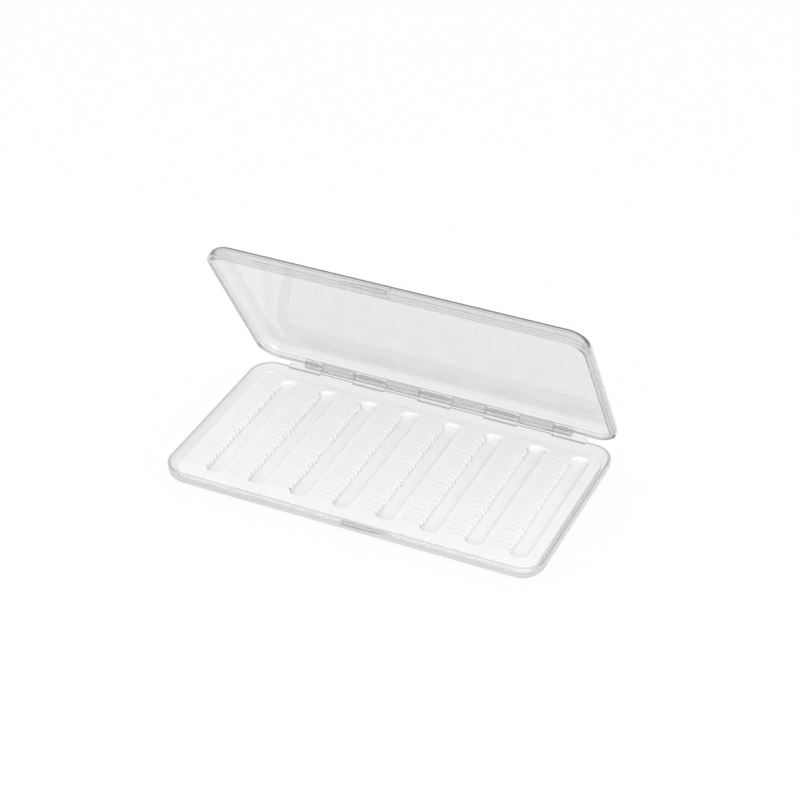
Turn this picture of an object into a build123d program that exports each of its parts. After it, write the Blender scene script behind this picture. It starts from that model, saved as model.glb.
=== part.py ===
# Slim clear-plastic fly box: a shallow tray, a matching lid on a pinned knuckle hinge,
# and a white sheet of slit foam bonded to the tray floor.
#
# Millimetres. Origin: centre of the tray's underside. +X runs along the hinge,
# -Y is the opening side with the thumb tabs, +Z is up. The lid stands part open.
import math
import os

from build123d import *

# --- case outline, shared by tray and lid -------------------------------------------
case_width = 188.0          # along the hinge
case_depth = 101.0          # front to back
corner_radius = 11.3        # corners seen from above
wall = 1.3                  # moulded wall and floor thickness
edge_radius = 5.5           # outer radius where the floor or panel turns into the walls
tray_height = 7.9
lid_height = 6.7

# --- seam: a lip on the lid nests inside the tray's walls -----------------------------
seam_gap = 0.1              # between the two rims when shut
lip_clearance = 0.2         # lip to tray wall, all round
lip_thickness = 1.0
lip_height = 1.2            # reach of the lip below the lid's rim
lip_root = 1.5              # height of the lip's band up the inside of the lid wall

# --- snap bead on the front of the lip, groove in the tray's front wall ---------------
snap_length = 14.0
snap_radius = 0.35
snap_proud = 0.15           # bead beyond the lip's outer face
snap_clearance = 0.05

# --- thumb tabs, one on each half, either side of the middle ---------------------------
tab_length = 25.0
tab_reach = 2.5             # beyond the front wall
tab_thickness = 1.2
tab_start = 0.3             # from the middle of the case to the tab's blunt end
tab_blunt = 2.0             # radius of the blunt end

# --- hinge ------------------------------------------------------------------------------
opening_angle = 59.0        # lid's rest position, measured from shut
hinge_offset = 2.95         # pin axis behind the back wall
hinge_rise = 0.5            # pin axis above the tray's rim
hinge_span = 156.6          # outside ends of the first and last tray knuckles
knuckle_count = 9           # odd, so that the tray has both end knuckles
knuckle_gap = 0.3
barrel_radius = 1.8
pin_diameter = 1.5
pin_running_clearance = 0.06    # radial, in the lid's knuckles
pin_seat_clearance = 0.02       # radial, in the tray's knuckles
end_shelf_length = 8.1      # flat shelf outside each end barrel
end_shelf_corner = 1.2
window_end = 2.6            # closed ring left at each end of a barrel
pin_recess = 0.3            # pin end inside the end barrel's mouth

# --- slit foam and what holds it --------------------------------------------------------
adhesive_thickness = 0.1
backing_thickness = 0.4
slit_sheet_thickness = 3.0
adhesive_inset = 0.2        # inside the edge of the flat floor
backing_overhang = 0.5      # beyond the edge of the flat floor, over the floor's radius
foam_overhang = 1.2
slot_width = 8.2
slot_corner = 3.0
bar_width = 13.6            # foam between two slots
foam_right_margin = 5.7
foam_back_margin = 4.3      # ends of the slots to the sheet's back and front edges
foam_front_margin = 7.7
slit_pitch = 3.2
slit_length = 10.5
slit_mouth = 0.7            # the cut springs open where it meets the slot
slit_depth = 2.4
slit_bar_margin = 1.0       # uncut foam left beyond a slit

# --- mould gate mark on each front wall ----------------------------------------------------
gate_diameter = 1.6
gate_proud = 0.25
gate_height = 2.9           # from the half's rim

# Places worked out from the sizes above
hinge_y = case_depth / 2 + hinge_offset
hinge_z = tray_height + hinge_rise
lid_axis_level = hinge_rise - seam_gap
lip_outside = wall + lip_clearance                  # from the case outline
lip_inside = lip_outside + lip_thickness
lift = math.radians(opening_angle)

# Each half has a rim plane: local +Y to the front edge, local +Z away from the seam,
# local +X towards the half's own thumb tab.
tray_rim = Plane(origin=(0, 0, tray_height), x_dir=(1, 0, 0), z_dir=(0, 0, -1))
lid_along = Vector(0, -math.cos(lift), math.sin(lift))
lid_normal = Vector(0, math.sin(lift), math.cos(lift))
lid_rim = Plane(
    origin=Vector(0, hinge_y, hinge_z)
    + lid_along * (hinge_offset + case_depth / 2)
    - lid_normal * lid_axis_level,
    x_dir=(-1, 0, 0),
    z_dir=lid_normal,
)
axis_line_y = -(case_depth / 2 + hinge_offset)      # pin axis in either rim plane

knuckle_pitch = hinge_span / knuckle_count
knuckle_length = knuckle_pitch - knuckle_gap
knuckle_centres = [
    (index - (knuckle_count - 1) / 2) * knuckle_pitch for index in range(knuckle_count)
]
tray_knuckles = knuckle_centres[0::2]
lid_knuckles = knuckle_centres[1::2]
barrel_end = hinge_span / 2 - end_shelf_length


def outline(inset, mode=Mode.ADD):
    """Case outline moved inwards by inset, corners kept concentric."""
    RectangleRounded(
        case_width - 2 * inset,
        case_depth - 2 * inset,
        corner_radius - inset,
        mode=mode,
    )


def moulded_shell(half, rim, height):
    """Open shell standing on its rim plane, rounded where the walls meet the floor."""
    away = Axis(rim.origin, rim.z_dir)
    with BuildSketch(rim) as plan:
        outline(0)
    extrude(plan.sketch, amount=height)
    fillet(half.faces().sort_by(away)[-1].edges(), edge_radius)
    offset(amount=-wall, openings=half.faces().sort_by(away)[0])


def thumb_tab(rim):
    """Tab at the rim: blunt near the middle of the case, running out in a long arc."""
    front = case_depth / 2
    tab_end = tab_start + tab_length
    with BuildSketch(rim) as tab:
        with BuildLine():
            Line((tab_start, front - wall / 2), (tab_start, front + tab_reach - tab_blunt))
            RadiusArc(
                (tab_start, front + tab_reach - tab_blunt),
                (tab_start + tab_blunt, front + tab_reach),
                tab_blunt,
            )
            TangentArc(
                (tab_start + tab_blunt, front + tab_reach),
                (tab_end, front),
                tangent=(1, 0),
            )
            Line((tab_end, front), (tab_end, front - wall / 2))
            Line((tab_end, front - wall / 2), (tab_start, front - wall / 2))
        make_face()
    extrude(tab.sketch, amount=tab_thickness)


def gate_mark(rim, height):
    """Small disc left by the moulding gate, on the curve of the front wall."""
    front = case_depth / 2
    rise = max(gate_height - (height - edge_radius), 0)
    surface = front - edge_radius + math.sqrt(edge_radius**2 - rise**2)
    face_plane = Plane(
        origin=rim.from_local_coords((0, surface - wall / 2, gate_height)),
        x_dir=rim.x_dir,
        z_dir=rim.y_dir,
    )
    with BuildSketch(face_plane) as disc:
        Circle(gate_diameter / 2)
    extrude(disc.sketch, amount=wall / 2 + gate_proud)


def hinge_web(rim, centre, length, thickness):
    """Flat web from the back wall to the pin axis, for one knuckle."""
    wall_line = -(case_depth / 2 - wall / 2)
    with BuildSketch(rim) as web:
        with Locations((rim.x_dir.X * centre, (wall_line + axis_line_y) / 2)):
            Rectangle(length, wall_line - axis_line_y)
    extrude(web.sketch, amount=thickness)


def barrel_span(centre):
    """Start and end of a knuckle's barrel; the outermost ones stop at the end shelves."""
    return (
        max(centre - knuckle_length / 2, -barrel_end),
        min(centre + knuckle_length / 2, barrel_end),
    )


def barrels(centres):
    """Knuckle barrels round the pin axis."""
    for centre in centres:
        start, stop = barrel_span(centre)
        with BuildSketch(Plane.YZ.offset(start)) as end:
            with Locations((hinge_y, hinge_z)):
                Circle(barrel_radius)
        extrude(end.sketch, amount=stop - start)


def pin_bore(clearance):
    """Bore through every knuckle of the half being built."""
    with BuildSketch(Plane.YZ.offset(-hinge_span / 2)) as bore:
        with Locations((hinge_y, hinge_z)):
            Circle(pin_diameter / 2 + clearance)
    extrude(bore.sketch, amount=hinge_span, mode=Mode.SUBTRACT)


def windows(centres, facing, clearance):
    """Open slot along the middle of each barrel, between its two closed rings."""
    with BuildSketch(Plane(origin=(0, hinge_y, hinge_z), x_dir=(1, 0, 0), z_dir=facing)) as slots:
        for centre in centres:
            start, stop = barrel_span(centre)
            with Locations(((start + stop) / 2, 0)):
                Rectangle(stop - start - 2 * window_end, pin_diameter + 2 * clearance)
    extrude(slots.sketch, amount=barrel_radius + pin_diameter, mode=Mode.SUBTRACT)


def snap_axis(rim, level):
    """Plane square to the bead, centred on the bead's axis at the front of the seam."""
    bead_line = case_depth / 2 - lip_outside + snap_proud - snap_radius
    return Plane(
        origin=rim.from_local_coords((-snap_length / 2, bead_line, level)),
        x_dir=rim.y_dir,
        z_dir=rim.x_dir,
    )


# --- base tray ----------------------------------------------------------------------------
with BuildPart() as base_tray:
    moulded_shell(base_tray, tray_rim, tray_height)
    thumb_tab(tray_rim)
    gate_mark(tray_rim, tray_height)
    with BuildSketch(snap_axis(tray_rim, lip_height / 2 - seam_gap)):
        Circle(snap_radius + snap_clearance + lip_clearance / 2)
    extrude(amount=snap_length + 2 * snap_clearance, mode=Mode.SUBTRACT)
    tray_web_thickness = barrel_radius - hinge_rise
    for centre in tray_knuckles:
        hinge_web(tray_rim, centre, knuckle_length, tray_web_thickness)
    barrels(tray_knuckles)
    shelf_corners = base_tray.edges().filter_by(Axis.Z).group_by(Axis.Y)[-1]
    fillet(
        [shelf_corners.sort_by(Axis.X)[0], shelf_corners.sort_by(Axis.X)[-1]],
        end_shelf_corner,
    )
    pin_bore(pin_seat_clearance)
    windows(tray_knuckles, Vector(0, 0, 1), pin_seat_clearance)

# --- lid, modelled where it rests on its hinge ----------------------------------------------
with BuildPart() as lid:
    moulded_shell(lid, lid_rim, lid_height)
    with BuildSketch(lid_rim):
        outline(wall / 2)
        outline(lip_inside, Mode.SUBTRACT)
    extrude(amount=lip_root)
    with BuildSketch(lid_rim.offset(-lip_height)):
        outline(lip_outside)
        outline(lip_inside, Mode.SUBTRACT)
    extrude(amount=lip_height + lip_root)
    thumb_tab(lid_rim)
    gate_mark(lid_rim, lid_height)
    with BuildSketch(snap_axis(lid_rim, -lip_height / 2)):
        Circle(snap_radius)
    extrude(amount=snap_length)
    lid_web_thickness = barrel_radius + lid_axis_level
    for centre in lid_knuckles:
        hinge_web(lid_rim, centre, knuckle_length, lid_web_thickness)
    barrels(lid_knuckles)
    pin_bore(pin_running_clearance)
    windows(lid_knuckles, lid_normal * -1, pin_running_clearance)

# --- hinge pin: plain clear plastic rod -------------------------------------------------------
with BuildPart() as hinge_pin:
    with BuildSketch(Plane.YZ.offset(-barrel_end + pin_recess)):
        with Locations((hinge_y, hinge_z)):
            Circle(pin_diameter / 2)
    extrude(amount=2 * (barrel_end - pin_recess))

# --- foam insert: adhesive, backing sheet, slotted and slit sheet -------------------------------
floor_width = case_width - 2 * edge_radius
floor_depth = case_depth - 2 * edge_radius
floor_corner = corner_radius - edge_radius
backing_level = wall + adhesive_thickness
sheet_level = backing_level + backing_thickness


def floor_outline(overhang):
    """Outline of the tray's flat floor, moved outwards by overhang."""
    RectangleRounded(
        floor_width + 2 * overhang,
        floor_depth + 2 * overhang,
        floor_corner + overhang,
    )


with BuildPart() as adhesive_film:
    with BuildSketch(Plane.XY.offset(wall)):
        floor_outline(-adhesive_inset)
    extrude(amount=adhesive_thickness)

with BuildPart() as foam_backing:
    with BuildSketch(Plane.XY.offset(backing_level)):
        floor_outline(backing_overhang)
    extrude(amount=backing_thickness)

foam_width = floor_width + 2 * foam_overhang
foam_depth = floor_depth + 2 * foam_overhang
slot_pitch = slot_width + bar_width
slot_count = 1 + int(
    (foam_width - foam_right_margin - slot_width - slit_length - slit_bar_margin) / slot_pitch
)
last_slot_x = foam_width / 2 - foam_right_margin - slot_width / 2
slots_x = last_slot_x - (slot_count - 1) * slot_pitch / 2
slot_length = foam_depth - foam_back_margin - foam_front_margin
slots_y = foam_depth / 2 - foam_back_margin - slot_length / 2
slit_count = 1 + int((slot_length - 2 * slot_corner) / slit_pitch)

with BuildPart() as slit_foam:
    with BuildSketch(Plane.XY.offset(sheet_level)):
        floor_outline(foam_overhang)
        with Locations((slots_x, slots_y)):
            with GridLocations(slot_pitch, slot_length, slot_count, 1):
                RectangleRounded(slot_width, slot_length, slot_corner, mode=Mode.SUBTRACT)
    extrude(amount=slit_sheet_thickness)
    with BuildSketch(Plane.XY.offset(sheet_level + slit_sheet_thickness)):
        with Locations((slots_x - slot_width / 2, slots_y)):
            with GridLocations(slot_pitch, slit_pitch, slot_count, slit_count):
                Polygon(
                    (0, slit_mouth / 2), (-slit_length, 0), (0, -slit_mouth / 2), align=None
                )
    extrude(amount=-slit_depth, mode=Mode.SUBTRACT)

# --- names and files -------------------------------------------------------------------------------
base_tray.part.label = "base_tray"
lid.part.label = "lid"
hinge_pin.part.label = "hinge_pin"
adhesive_film.part.label = "adhesive_film"
foam_backing.part.label = "foam_backing"
slit_foam.part.label = "slit_foam"

os.makedirs("parts", exist_ok=True)
for piece in (base_tray, lid, hinge_pin, adhesive_film, foam_backing, slit_foam):
    export_step(piece.part, f"parts/{piece.part.label}.step")
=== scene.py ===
"""Slim clear fly box with a white slit-foam insert: soft pieces, finishes and studio."""
import math
import random

import bmesh
import bpy
from mathutils import Matrix, Vector
from mathutils.geometry import tessellate_polygon


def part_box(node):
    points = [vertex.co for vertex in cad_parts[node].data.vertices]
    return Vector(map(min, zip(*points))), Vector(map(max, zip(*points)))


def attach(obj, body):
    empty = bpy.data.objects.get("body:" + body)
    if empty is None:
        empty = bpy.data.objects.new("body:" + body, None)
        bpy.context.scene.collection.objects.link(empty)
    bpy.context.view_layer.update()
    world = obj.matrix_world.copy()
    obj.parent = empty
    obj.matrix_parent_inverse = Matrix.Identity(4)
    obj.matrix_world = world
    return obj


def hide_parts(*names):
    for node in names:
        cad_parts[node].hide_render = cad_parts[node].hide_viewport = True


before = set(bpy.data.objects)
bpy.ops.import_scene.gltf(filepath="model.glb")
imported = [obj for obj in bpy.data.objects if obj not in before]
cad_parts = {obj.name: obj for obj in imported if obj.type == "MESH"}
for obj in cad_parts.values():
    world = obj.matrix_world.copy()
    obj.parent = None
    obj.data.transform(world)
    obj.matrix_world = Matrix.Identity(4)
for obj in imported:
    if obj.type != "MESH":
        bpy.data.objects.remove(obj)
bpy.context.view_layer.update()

bl_info = {
    "name": "Fly Box",
    "version": (1, 0, 0),
    "blender": (4, 5, 0),
    "location": "View3D > Sidebar > Fly Box",
    "description": "Slim clear fly box with a slit-foam insert, and the studio it stands in",
    "category": "Object",
}

MM = 0.001

# straight pieces in one rounded corner
CORNER_STEPS = 6

# how unlike each other the knife cuts are: shares of their sizes, and a wander in millimetres
MOUTH_SHARES = (0.6, 1.35)
FLARE_SHARES = (0.7, 1.3)
LENGTH_SHARES = (0.94, 1.04)
WANDER = 0.12

# where two edges nearly turn back on themselves, and how far a mitre may stand out
HAIRPIN = 0.2
LONGEST_MITRE = 1.4

# the studio's dome, as parts of its radius: the room ends and the light begins at these
# heights, and the room behind turns to the room in front between these depths
ROOM_TOP, LIGHT_BOTTOM = 0.3, 0.6
BEHIND, BEFORE = 0.3, -0.1


# --- colours and nodes --------------------------------------------------------------------


def linear(hex_colour):
    """sRGB hex colour, such as "F2F2F0", as linear RGBA."""
    channels = [int(hex_colour[i : i + 2], 16) / 255 for i in (0, 2, 4)]
    return [c / 12.92 if c <= 0.04045 else ((c + 0.055) / 1.055) ** 2.4 for c in channels] + [1.0]


def add_node(tree, kind, links=None, **settings):
    """Add a node; settings are its properties or input values, links the sockets that feed it."""
    node = tree.nodes.new(kind)
    for name, value in settings.items():
        if hasattr(node, name):
            setattr(node, name, value)
        else:
            node.inputs[name.replace("_", " ")].default_value = value
    for name, socket in (links or {}).items():
        tree.links.new(socket, node.inputs[name])
    return node


def new_material(name):
    """Empty node material, its tree and its output node."""
    material = bpy.data.materials.new(name)
    material.use_nodes = True
    material.node_tree.nodes.clear()
    output = material.node_tree.nodes.new("ShaderNodeOutputMaterial")
    return material, material.node_tree, output


# --- settings -----------------------------------------------------------------------------


class FlyBoxFoam(bpy.types.PropertyGroup):
    """Sizes of the slit foam sheet."""

    slot_count: bpy.props.IntProperty(
        name="Slots", description="Rows of slots across the sheet", default=8, min=1
    )
    slot_width: bpy.props.FloatProperty(
        name="Slot width", description="Across one slot", default=8.2 * MM, unit="LENGTH"
    )
    slot_pitch: bpy.props.FloatProperty(
        name="Slot pitch",
        description="From one slot to the next",
        default=21.8 * MM,
        unit="LENGTH",
    )
    slot_corner: bpy.props.FloatProperty(
        name="Slot corner",
        description="Radius of a slot's corners",
        default=3.0 * MM,
        unit="LENGTH",
    )
    sheet_corner: bpy.props.FloatProperty(
        name="Sheet corner",
        description="Radius of the corners of the foam and its backing",
        default=7.0 * MM,
        unit="LENGTH",
    )
    right_margin: bpy.props.FloatProperty(
        name="Right margin",
        description="Foam between the last slot and the sheet's right edge",
        default=5.7 * MM,
        unit="LENGTH",
    )
    back_margin: bpy.props.FloatProperty(
        name="Back margin",
        description="Foam between the slots and the sheet's hinge edge",
        default=4.3 * MM,
        unit="LENGTH",
    )
    front_margin: bpy.props.FloatProperty(
        name="Front margin",
        description="Foam between the slots and the sheet's front edge",
        default=7.7 * MM,
        unit="LENGTH",
    )
    slit_count: bpy.props.IntProperty(
        name="Slits", description="Knife cuts along one slot", default=24, min=1
    )
    slit_pitch: bpy.props.FloatProperty(
        name="Slit pitch", description="From one cut to the next", default=3.2 * MM, unit="LENGTH"
    )
    slit_length: bpy.props.FloatProperty(
        name="Slit length",
        description="Reach of a cut into the foam",
        default=10.5 * MM,
        unit="LENGTH",
    )
    slit_mouth: bpy.props.FloatProperty(
        name="Slit mouth",
        description="Width that a cut springs open to at its slot",
        default=0.8 * MM,
        unit="LENGTH",
    )
    slit_flare: bpy.props.FloatProperty(
        name="Slit flare", description="Length of the open mouth", default=1.3 * MM, unit="LENGTH"
    )
    slit_gap: bpy.props.FloatProperty(
        name="Slit gap",
        description="Width of a cut behind its mouth",
        default=0.08 * MM,
        unit="LENGTH",
    )
    edge_radius: bpy.props.FloatProperty(
        name="Edge radius",
        description="Softness of the edges where the die pressed through the sheet",
        default=0.7 * MM,
        unit="LENGTH",
    )
    lip_radius: bpy.props.FloatProperty(
        name="Lip radius",
        description="Softness of the edges of a cut",
        default=0.2 * MM,
        unit="LENGTH",
    )
    backing_edge: bpy.props.FloatProperty(
        name="Backing edge",
        description="Softness of the backing sheet's edge",
        default=0.15 * MM,
        unit="LENGTH",
    )


class FlyBoxFinish(bpy.types.PropertyGroup):
    """Colours and surface values of the box's materials."""

    tray_colour: bpy.props.FloatVectorProperty(
        name="Tray plastic",
        description="What the tray's plastic lets through",
        subtype="COLOR",
        size=4,
        default=linear("F2F2F2"),
    )
    tray_leak: bpy.props.FloatVectorProperty(
        name="Light in the tray's rims",
        description="Light that leaves the tray where its sheet carries light along",
        subtype="COLOR",
        size=4,
        default=linear("D8D8D8"),
    )
    tray_haze: bpy.props.FloatProperty(
        name="Tray haze",
        description="Share of the light in the tray's rims that comes out scattered",
        default=0.9,
        min=0.0,
        max=1.0,
        subtype="FACTOR",
    )
    lid_colour: bpy.props.FloatVectorProperty(
        name="Lid plastic",
        description="What the lid's plastic lets through",
        subtype="COLOR",
        size=4,
        default=linear("EEEEEE"),
    )
    lid_leak: bpy.props.FloatVectorProperty(
        name="Light in the lid's rims",
        description="Light that leaves the lid where its sheet carries light along",
        subtype="COLOR",
        size=4,
        default=linear("E0E0E0"),
    )
    lid_haze: bpy.props.FloatProperty(
        name="Lid haze",
        description="Share of the light in the lid's rims that comes out scattered",
        default=0.3,
        min=0.0,
        max=1.0,
        subtype="FACTOR",
    )
    clear_ior: bpy.props.FloatProperty(
        name="Clear IOR",
        description="Refractive index of the clear plastic",
        default=1.58,
        min=1.0,
    )
    clear_roughness: bpy.props.FloatProperty(
        name="Clear roughness",
        description="Haze of the moulded surface",
        default=0.05,
        min=0.0,
        max=1.0,
    )
    clear_shade: bpy.props.FloatVectorProperty(
        name="Clear shade",
        description="Lamp light that a clear sheet lets through to what it shades",
        subtype="COLOR",
        size=4,
        default=linear("F2F2F2"),
    )
    foam_colour: bpy.props.FloatVectorProperty(
        name="Foam",
        description="White of the slit sheet",
        subtype="COLOR",
        size=4,
        default=linear("F1F1F0"),
    )
    # whiter than the slit foam: part of this white is painted light, which lifts the slot floors
    # out of the shade of the slot walls
    backing_white_and_slot_light: bpy.props.FloatVectorProperty(
        name="Foam backing",
        description="White of the sheet under the slots",
        subtype="COLOR",
        size=4,
        default=linear("FAFAF9"),
    )
    film_colour: bpy.props.FloatVectorProperty(
        name="Adhesive film",
        description="Milky white of the adhesive",
        subtype="COLOR",
        size=4,
        default=linear("E9E9E6"),
    )
    pin_colour: bpy.props.FloatVectorProperty(
        name="Pin plastic",
        description="What the rod lets through, along and across",
        subtype="COLOR",
        size=4,
        default=linear("F8F8F8"),
    )
    pin_haze: bpy.props.FloatProperty(
        name="Pin haze",
        description="Share of the light along the rod that comes out scattered",
        default=1.0,
        min=0.0,
        max=1.0,
        subtype="FACTOR",
    )


class FlyBoxStudio(bpy.types.PropertyGroup):
    """Floor, light and camera."""

    floor_colour: bpy.props.FloatVectorProperty(
        name="Floor",
        description="White of the studio floor",
        subtype="COLOR",
        size=4,
        default=linear("F6F6F6"),
    )
    floor_size: bpy.props.FloatProperty(
        name="Floor size", description="Side of the floor", default=8.0, unit="LENGTH"
    )
    floor_glow: bpy.props.FloatProperty(
        name="Floor white",
        description="Share of plain white in the floor to the eye; the rest keeps the shadow",
        default=0.92,
        min=0.0,
        max=1.0,
        subtype="FACTOR",
    )
    sky_strength: bpy.props.FloatProperty(
        name="Soft light", description="Even light from all round", default=0.945, min=0.0
    )
    lamp_power: bpy.props.FloatProperty(
        name="Softbox power",
        description="Power of the large softbox",
        default=9.5,
        min=0.0,
        unit="POWER",
    )
    lamp_size: bpy.props.FloatProperty(
        name="Softbox size", description="Side of the softbox", default=1.2, unit="LENGTH"
    )
    lamp_place: bpy.props.FloatVectorProperty(
        name="Softbox place",
        description="Centre of the softbox",
        subtype="TRANSLATION",
        unit="LENGTH",
        default=(0.6, -1.3, 0.6),
    )
    back_horizon: bpy.props.FloatVectorProperty(
        name="Behind the sweep",
        description="Tone of the room behind, which the lid's top edge picks up",
        subtype="COLOR",
        size=4,
        default=linear("545454"),
    )
    front_horizon: bpy.props.FloatVectorProperty(
        name="Before the sweep",
        description="Tone of the room in front, which the hinge side of the lid reflects",
        subtype="COLOR",
        size=4,
        default=linear("D6D6D6"),
    )
    camera_place: bpy.props.FloatVectorProperty(
        name="Camera place",
        description="Where the camera stands",
        subtype="TRANSLATION",
        unit="LENGTH",
        default=(0.354906, -0.747622, 0.611699),
    )
    azimuth: bpy.props.FloatProperty(
        name="Azimuth",
        description="Camera's bearing, from the front towards the right",
        default=math.radians(25.04),
        subtype="ANGLE",
    )
    elevation: bpy.props.FloatProperty(
        name="Elevation",
        description="Camera's height above the horizon",
        default=math.radians(34.59),
        subtype="ANGLE",
    )
    roll: bpy.props.FloatProperty(
        name="Roll",
        description="Camera's tilt about its own axis",
        default=math.radians(-0.31),
        subtype="ANGLE",
    )
    lens: bpy.props.FloatProperty(
        name="Lens", description="Focal length in millimetres", default=99.32, min=1.0
    )


# --- materials ----------------------------------------------------------------------------


def clear_plastic(name, finish, colour, leak_colour, haze_share):
    """Crystal polystyrene or acrylic, moulded or extruded through a polished tool.

    The eye gets a pale grey sheet with a soft sheen: the polish isn't a mirror, so what it
    reflects is blurred, and the melt's flow leaves faint long waves. Light that is reflected
    inside is piped along to the rims, where haze_share of it comes out scattered, which
    makes a rim look milky, and the rest straight, which draws the rim as a dark line.
    """
    material, tree, output = new_material(name)
    place = add_node(tree, "ShaderNodeTexCoord")
    # flow waves 14 mm apart across the case, drawn out threefold from its front to its back
    wave = 14 * MM
    stretch = add_node(
        tree,
        "ShaderNodeVectorMath",
        {0: place.outputs["Object"]},
        operation="MULTIPLY",
    )
    stretch.inputs[1].default_value = (1.0, 0.33, 0.33)
    flow = add_node(
        tree,
        "ShaderNodeTexNoise",
        {"Vector": stretch.outputs["Vector"]},
        Scale=1 / wave,
        Detail=2.0,
    )
    waves = add_node(
        tree,
        "ShaderNodeBump",
        {"Height": flow.outputs["Fac"]},
        Strength=0.06,
        Distance=0.3 * MM,
    )
    # the polish is a fifth rougher or smoother from crest to trough
    haze = add_node(
        tree,
        "ShaderNodeMapRange",
        {"Value": flow.outputs["Fac"]},
        From_Min=0.3,
        From_Max=0.7,
        To_Min=finish.clear_roughness * 0.8,
        To_Max=finish.clear_roughness * 1.2,
    )
    sheet = add_node(
        tree,
        "ShaderNodeBsdfPrincipled",
        {"Roughness": haze.outputs["Result"], "Normal": waves.outputs["Normal"]},
        Base_Color=colour,
        IOR=finish.clear_ior,
        Transmission_Weight=1.0,
    )
    path = add_node(tree, "ShaderNodeLightPath")
    # light that the sheet pipes along comes out at scratches, haze and whatever is bonded on
    straight = add_node(tree, "ShaderNodeBsdfTransparent", Color=leak_colour)
    scattered = add_node(tree, "ShaderNodeBsdfTranslucent", Color=leak_colour)
    leak = add_node(
        tree,
        "ShaderNodeMixShader",
        {1: straight.outputs["BSDF"], 2: scattered.outputs["BSDF"]},
        Fac=haze_share,
    )
    # 0 until light has come in and been reflected; the mix takes 1 and more as 1
    piped = add_node(
        tree,
        "ShaderNodeMath",
        {0: path.outputs["Glossy Depth"], 1: path.outputs["Transmission Depth"]},
        operation="MULTIPLY",
    )
    body = add_node(
        tree,
        "ShaderNodeMixShader",
        {0: piped.outputs[0], 1: sheet.outputs["BSDF"], 2: leak.outputs[0]},
    )
    # lamps shine through to the foam
    shade = add_node(tree, "ShaderNodeBsdfTransparent", Color=finish.clear_shade)
    both = add_node(
        tree,
        "ShaderNodeMixShader",
        {0: path.outputs["Is Shadow Ray"], 1: body.outputs[0], 2: shade.outputs["BSDF"]},
    )
    tree.links.new(both.outputs["Shader"], output.inputs["Surface"])
    return material


def foam(name, colour, soak):
    """Closed-cell EVA foam, skived from a block.

    The eye gets a matt white with cut cells as a fine grain. In a thick sheet light soaks in,
    by the share soak, which softens the shade in the slots.
    """
    material, tree, output = new_material(name)
    place = add_node(tree, "ShaderNodeTexCoord")
    # cells are about 0.3 mm across: drawn twice as coarse, so that they show
    cell = 0.6 * MM
    cells = add_node(
        tree, "ShaderNodeTexVoronoi", {"Vector": place.outputs["Object"]}, Scale=1 / cell
    )
    # cells lie denser in patches about 9 mm across, which are a little less white
    patch, dense = 9 * MM, 0.975
    cloud = add_node(
        tree,
        "ShaderNodeTexNoise",
        {"Vector": place.outputs["Object"]},
        Scale=1 / patch,
        Detail=3.0,
    )
    tone = add_node(
        tree,
        "ShaderNodeMix",
        {0: cloud.outputs["Fac"]},
        data_type="RGBA",
        A=[channel * dense for channel in colour[:3]] + [1.0],
        B=colour,
    )
    grain = add_node(
        tree,
        "ShaderNodeBump",
        {"Height": cells.outputs["Distance"]},
        Strength=0.15,
        Distance=0.1 * MM,
    )
    shader = add_node(
        tree,
        "ShaderNodeBsdfPrincipled",
        {"Base Color": tone.outputs["Result"], "Normal": grain.outputs["Normal"]},
        Roughness=1.0,
        IOR=1.48,
        Specular_IOR_Level=0.2,
        Subsurface_Weight=soak,
        Subsurface_Radius=(1.0, 1.0, 1.0),
        Subsurface_Scale=0.8 * MM,
    )
    tree.links.new(shader.outputs["BSDF"], output.inputs["Surface"])
    return material


def adhesive_film(finish):
    """Acrylic transfer adhesive, coated on a liner and pressed down with the foam.

    The eye gets a milky, slightly wet white with cloudy patches where air stayed under it.
    """
    material, tree, output = new_material("milky_acrylic_adhesive")
    place = add_node(tree, "ShaderNodeTexCoord")
    # trapped air in patches about 6 mm across; where the film wets the tray it is greyer
    patch, wetted = 6 * MM, 0.93
    air = add_node(
        tree,
        "ShaderNodeTexNoise",
        {"Vector": place.outputs["Object"]},
        Scale=1 / patch,
        Detail=4.0,
    )
    tone = add_node(
        tree,
        "ShaderNodeMix",
        {0: air.outputs["Fac"]},
        data_type="RGBA",
        A=[channel * wetted for channel in finish.film_colour[:3]] + [1.0],
        B=finish.film_colour,
    )
    shader = add_node(
        tree,
        "ShaderNodeBsdfPrincipled",
        {"Base Color": tone.outputs["Result"]},
        Roughness=0.35,
        IOR=1.47,
    )
    tree.links.new(shader.outputs["BSDF"], output.inputs["Surface"])
    return material


def seen_directly(tree):
    """1 for rays that reach the eye with no matt surface between, 0 for rays that light one."""
    path = add_node(tree, "ShaderNodeLightPath")
    mirrored = add_node(
        tree,
        "ShaderNodeMath",
        {0: path.outputs["Is Camera Ray"], 1: path.outputs["Is Glossy Ray"]},
        operation="MAXIMUM",
    )
    seen = add_node(
        tree,
        "ShaderNodeMath",
        {0: mirrored.outputs[0], 1: path.outputs["Is Transmission Ray"]},
        operation="MAXIMUM",
    )
    # 1 while the ray has met no matt surface yet
    clear = add_node(
        tree, "ShaderNodeMath", {0: path.outputs["Diffuse Depth"]}, operation="LESS_THAN"
    )
    clear.inputs[1].default_value = 0.5
    both = add_node(
        tree, "ShaderNodeMath", {0: seen.outputs[0], 1: clear.outputs[0]}, operation="MULTIPLY"
    )
    return both.outputs[0]


def studio_floor(studio):
    """White sweep: plain white to the eye, with the object's own faint shadow kept."""
    material, tree, output = new_material("studio_floor")
    paint = add_node(tree, "ShaderNodeBsdfDiffuse", Color=studio.floor_colour)
    glow = add_node(tree, "ShaderNodeEmission", Color=(1, 1, 1, 1), Strength=1.0)
    share = add_node(tree, "ShaderNodeMath", {0: seen_directly(tree)}, operation="MULTIPLY")
    share.inputs[1].default_value = studio.floor_glow
    mix = add_node(
        tree, "ShaderNodeMixShader", {0: share.outputs[0], 1: paint.outputs[0], 2: glow.outputs[0]}
    )
    tree.links.new(mix.outputs[0], output.inputs["Surface"])
    return material


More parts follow.
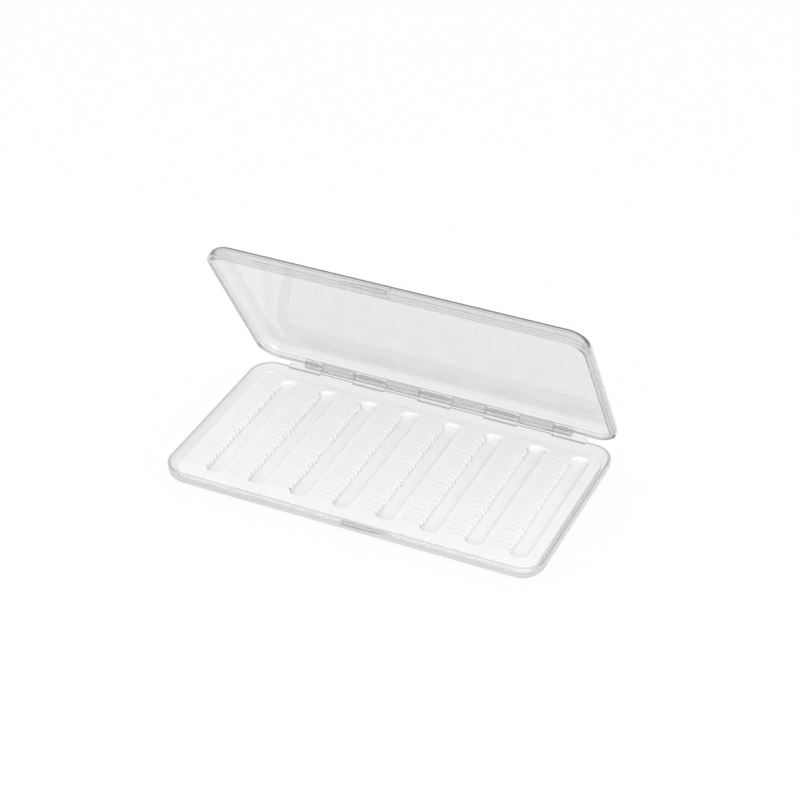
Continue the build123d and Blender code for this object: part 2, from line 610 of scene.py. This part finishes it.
def studio_world(studio):
    """Even white light; rays bent by the clear plastic see a darker room beyond the sweep.

    The room is a low band all round, and lighter in front than behind. Its dark part draws
    the lid's top edge.
    """
    world = bpy.data.worlds.new("studio")
    world.use_nodes = True
    tree = world.node_tree
    tree.nodes.clear()
    output = tree.nodes.new("ShaderNodeOutputWorld")
    where = add_node(tree, "ShaderNodeTexCoord")
    toward = add_node(tree, "ShaderNodeSeparateXYZ", {"Vector": where.outputs["Generated"]})
    above = add_node(
        tree,
        "ShaderNodeMapRange",
        {"Value": toward.outputs["Z"]},
        From_Min=ROOM_TOP,
        From_Max=LIGHT_BOTTOM,
    )
    front = add_node(
        tree,
        "ShaderNodeMapRange",
        {"Value": toward.outputs["Y"]},
        From_Min=BEHIND,
        From_Max=BEFORE,
    )
    room = add_node(
        tree,
        "ShaderNodeMix",
        {0: front.outputs["Result"]},
        data_type="RGBA",
        A=studio.back_horizon,
        B=studio.front_horizon,
    )
    tone = add_node(
        tree,
        "ShaderNodeMix",
        {0: above.outputs["Result"], "A": room.outputs["Result"]},
        data_type="RGBA",
        B=linear("FFFFFF"),
    )
    soft = add_node(tree, "ShaderNodeBackground", Color=(1, 1, 1, 1), Strength=studio.sky_strength)
    seen = add_node(tree, "ShaderNodeBackground", {"Color": tone.outputs["Result"]}, Strength=1.0)
    mix = add_node(
        tree,
        "ShaderNodeMixShader",
        {0: seen_directly(tree), 1: soft.outputs[0], 2: seen.outputs[0]},
    )
    tree.links.new(mix.outputs[0], output.inputs["Surface"])
    return world


# --- foam sheets --------------------------------------------------------------------------


def rounded_rectangle(left, right, front, back, corner, softness):
    """Outline of a rounded rectangle, anticlockwise, as (x, y, edge softness)."""
    points = []
    for x, y, start in (
        (right - corner, front + corner, -90),
        (right - corner, back - corner, 0),
        (left + corner, back - corner, 90),
        (left + corner, front + corner, 180),
    ):
        for step in range(CORNER_STEPS + 1):
            angle = math.radians(start + 90 * step / CORNER_STEPS)
            points.append((x + corner * math.cos(angle), y + corner * math.sin(angle), softness))
    return points


def slit_slot(left, right, front, back, size, uneven):
    """Outline of one slot with its row of knife cuts running off the left edge.

    The cuts aren't quite alike: each springs open by its own amount.
    """
    rim = rounded_rectangle(left, right, front, back, size.slot_corner, size.edge_radius)
    cuts = []
    middle = (front + back) / 2
    reach = (size.slit_count - 1) / 2
    # a cut's mouth is a little crisper than the rim, and its tip half as soft as its lips
    mouth_radius = size.edge_radius * 0.7
    lip = size.lip_radius
    for index in range(size.slit_count):
        y = middle + (reach - index) * size.slit_pitch
        mouth = size.slit_mouth * uneven.uniform(*MOUTH_SHARES) / 2
        flare = size.slit_flare * uneven.uniform(*FLARE_SHARES)
        lean = uneven.uniform(-WANDER, WANDER) * MM
        edge = left + uneven.uniform(-WANDER, WANDER) * MM
        tip = left - size.slit_length * uneven.uniform(*LENGTH_SHARES)
        cuts += [
            (edge, y + mouth, mouth_radius),
            (left - flare, y + lean + size.slit_gap / 2, lip),
            (tip, y + lean, lip / 2),
            (left - flare, y + lean - size.slit_gap / 2, lip),
            (edge, y - mouth, mouth_radius),
        ]
    # the rim starts at the front right, so the left side comes after its third corner
    left_side = 3 * (CORNER_STEPS + 1)
    return rim[:left_side] + cuts + rim[left_side:]


def outward(points):
    """Unit normals to the right of the line, and how far a mitred corner stands out."""
    normals = []
    count = len(points)
    for index in range(count):
        before, here, after = (
            Vector(points[(index + shift) % count][:2]) for shift in (-1, 0, 1)
        )
        into, out_of = (here - before).normalized(), (after - here).normalized()
        first, second = Vector((into.y, -into.x)), Vector((out_of.y, -out_of.x))
        both = first + second
        if both.length < HAIRPIN:
            both = into - out_of
            normals.append((both.normalized(), 1.0))
            continue
        direction = both.normalized()
        normals.append((direction, min(1 / max(direction.dot(first), 0.1), LONGEST_MITRE)))
    return normals


def foam_sheet(name, outline, holes, low, high):
    """Sheet with softly rounded upper edges round its outline and its holes.

    Each edge is four rings down the round and one at the bottom, with the normals of a
    smooth curve; the flat top and bottom are filled between the rings.
    """
    turns = [math.radians(angle) for angle in (0, 30, 60, 90)]
    vertices, normals, faces, top, bottom = [], [], [], [], []
    for loop, side in [(outline, -1)] + [(hole, 1) for hole in holes]:
        sides = outward(loop)
        rings = []
        for turn in turns + [None]:
            ring = []
            for (x, y, radius), (direction, mitre) in zip(loop, sides):
                away = direction * side
                if turn is None:
                    place, z, normal = Vector((x, y)), low, -away
                    normal = Vector((normal.x, normal.y, 0))
                else:
                    place = Vector((x, y)) + away * mitre * radius * (1 - math.sin(turn))
                    z = high - radius * (1 - math.cos(turn))
                    flat = -away * math.sin(turn)
                    normal = Vector((flat.x, flat.y, math.cos(turn)))
                ring.append(len(vertices))
                vertices.append((place.x, place.y, z))
                normals.append(normal)
            rings.append(ring)
        count = len(loop)
        for upper, lower in zip(rings, rings[1:]):
            for index in range(count):
                after = (index + 1) % count
                quad = (upper[index], lower[index], lower[after], upper[after])
                faces.append(quad if side < 0 else quad[::-1])
        top.append(rings[0])
        bottom.append(rings[-1])
    for rims, flip in ((top, False), (bottom, True)):
        order = [index for ring in rims for index in ring]
        loops = [[Vector(vertices[index]) for index in ring] for ring in rims]
        for a, b, c in tessellate_polygon(loops):
            a, b, c = order[a], order[b], order[c]
            corners = [Vector(vertices[index]) for index in (a, b, c)]
            upward = (corners[1] - corners[0]).cross(corners[2] - corners[0]).z > 0
            faces.append((a, b, c) if upward != flip else (a, c, b))
    mesh = bpy.data.meshes.new(name)
    mesh.from_pydata(vertices, [], faces)
    mesh.validate()
    mesh.polygons.foreach_set("use_smooth", [True] * len(mesh.polygons))
    mesh.normals_split_custom_set_from_vertices(normals)
    piece = bpy.data.objects.new(name, mesh)
    bpy.context.scene.collection.objects.link(piece)
    return piece


class FLYBOX_OT_foam(bpy.types.Operator):
    """Make the slit foam sheet and the backing sheet under it"""

    bl_idname = "flybox.foam"
    bl_label = "Slit Foam and Backing"

    def execute(self, context):
        size, finish = context.scene.flybox_foam, context.scene.flybox_finish
        uneven = random.Random(7)
        low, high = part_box("slit_foam")
        corner = size.sheet_corner
        outline = rounded_rectangle(low[0], high[0], low[1], high[1], corner, size.edge_radius)
        holes = []
        for index in range(size.slot_count):
            right = high[0] - size.right_margin - (size.slot_count - 1 - index) * size.slot_pitch
            holes.append(
                slit_slot(
                    right - size.slot_width,
                    right,
                    low[1] + size.front_margin,
                    high[1] - size.back_margin,
                    size,
                    uneven,
                )
            )
        sheet = foam_sheet("slit_foam_sheet", outline, holes, low[2], high[2])
        sheet.data.materials.append(foam("white_eva_foam", finish.foam_colour, soak=0.5))
        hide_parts("slit_foam")
        low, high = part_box("foam_backing")
        outline = rounded_rectangle(low[0], high[0], low[1], high[1], corner, size.backing_edge)
        backing = foam_sheet("foam_backing_sheet", outline, [], low[2], high[2])
        # the backing's extra white over the foam is painted light in the shaded slot floors; the
        # rest is the sheet's own white
        # the backing is too thin for light to soak in
        backing.data.materials.append(
            foam("white_eva_backing", finish.backing_white_and_slot_light, soak=0.0)
        )
        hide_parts("foam_backing")
        for piece in (sheet, backing):
            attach(piece, "base")
        return {"FINISHED"}


# --- finishes on the rigid parts ----------------------------------------------------------


def dress(node, material):
    """Give a part of the frame its material."""
    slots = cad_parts[node].data.materials
    slots.clear()
    slots.append(material)


class FLYBOX_OT_case(bpy.types.Operator):
    """Give the tray and the lid their clear moulded plastic"""

    bl_idname = "flybox.case"
    bl_label = "Clear Case"

    def execute(self, context):
        finish = context.scene.flybox_finish
        tray = (finish.tray_colour, finish.tray_leak, finish.tray_haze)
        lid = (finish.lid_colour, finish.lid_leak, finish.lid_haze)
        # the film bonded to the tray scatters far more of the light in it than the free lid does
        dress("base_tray", clear_plastic("clear_moulded_polystyrene_bonded", finish, *tray))
        dress("lid", clear_plastic("clear_moulded_polystyrene", finish, *lid))
        return {"FINISHED"}


class FLYBOX_OT_pin(bpy.types.Operator):
    """Give the hinge pin its clear extruded plastic"""

    bl_idname = "flybox.pin"
    bl_label = "Hinge Pin"

    def execute(self, context):
        finish = context.scene.flybox_finish
        pin = (finish.pin_colour, finish.pin_colour, finish.pin_haze)
        dress("hinge_pin", clear_plastic("clear_extruded_acrylic", finish, *pin))
        return {"FINISHED"}


class FLYBOX_OT_film(bpy.types.Operator):
    """Give the adhesive under the foam its milky finish"""

    bl_idname = "flybox.film"
    bl_label = "Adhesive Film"

    def execute(self, context):
        dress("adhesive_film", adhesive_film(context.scene.flybox_finish))
        return {"FINISHED"}


# --- studio -------------------------------------------------------------------------------


class FLYBOX_OT_studio(bpy.types.Operator):
    """Make the floor, the light and the camera"""

    bl_idname = "flybox.studio"
    bl_label = "Studio"

    def execute(self, context):
        scene, studio = context.scene, context.scene.flybox_studio
        scene.view_settings.view_transform = "Standard"
        grid = bmesh.new()
        bmesh.ops.create_grid(grid, x_segments=1, y_segments=1, size=studio.floor_size / 2)
        mesh = bpy.data.meshes.new("studio_floor")
        grid.to_mesh(mesh)
        grid.free()
        mesh.materials.append(studio_floor(studio))
        floor = bpy.data.objects.new("studio_floor", mesh)
        # just clear of the case, so that the two faces don't share a plane
        floor.location.z = -0.2 * MM
        scene.collection.objects.link(floor)
        scene.world = studio_world(studio)

        lamp = bpy.data.lights.new("softbox", "AREA")
        lamp.size = studio.lamp_size
        lamp.energy = studio.lamp_power
        softbox = bpy.data.objects.new("softbox", lamp)
        softbox.location = studio.lamp_place
        softbox.rotation_mode = "QUATERNION"
        softbox.rotation_quaternion = (-softbox.location).to_track_quat("-Z", "Y")
        scene.collection.objects.link(softbox)

        lens = bpy.data.cameras.new("camera")
        lens.lens = studio.lens
        camera = bpy.data.objects.new("camera", lens)
        scene.collection.objects.link(camera)
        bearing, height, roll = studio.azimuth, studio.elevation, studio.roll
        back = Vector(
            (
                math.sin(bearing) * math.cos(height),
                -math.cos(bearing) * math.cos(height),
                math.sin(height),
            )
        )
        level = Vector((0, 0, 1)).cross(back).normalized()
        upright = back.cross(level)
        right = level * math.cos(roll) + upright * math.sin(roll)
        up = upright * math.cos(roll) - level * math.sin(roll)
        turn = Matrix((right, up, back)).transposed().to_4x4()
        camera.matrix_world = Matrix.Translation(studio.camera_place) @ turn
        scene.camera = camera
        return {"FINISHED"}


# --- panel and registration ---------------------------------------------------------------

PIECES = (FLYBOX_OT_foam, FLYBOX_OT_case, FLYBOX_OT_pin, FLYBOX_OT_film, FLYBOX_OT_studio)
SETTINGS = {
    "flybox_foam": FlyBoxFoam,
    "flybox_finish": FlyBoxFinish,
    "flybox_studio": FlyBoxStudio,
}


class FLYBOX_PT_panel(bpy.types.Panel):
    """Settings and build steps of the fly box"""

    bl_idname = "FLYBOX_PT_panel"
    bl_label = "Fly Box"
    bl_space_type = "VIEW_3D"
    bl_region_type = "UI"
    bl_category = "Fly Box"

    def draw(self, context):
        for name, group in SETTINGS.items():
            column = self.layout.column(align=True)
            for key in group.__annotations__:
                column.prop(getattr(context.scene, name), key)
        for operator in PIECES:
            self.layout.operator(operator.bl_idname)


def register():
    for item in (*SETTINGS.values(), *PIECES, FLYBOX_PT_panel):
        bpy.utils.register_class(item)
    for name, group in SETTINGS.items():
        setattr(bpy.types.Scene, name, bpy.props.PointerProperty(type=group))


def unregister():
    for name in SETTINGS:
        delattr(bpy.types.Scene, name)
    for item in (FLYBOX_PT_panel, *PIECES[::-1], *SETTINGS.values()):
        bpy.utils.unregister_class(item)


def main():
    register()
    bpy.ops.flybox.foam()
    bpy.ops.flybox.case()
    bpy.ops.flybox.pin()
    bpy.ops.flybox.film()
    bpy.ops.flybox.studio()


if __name__ == "__main__":
    main()
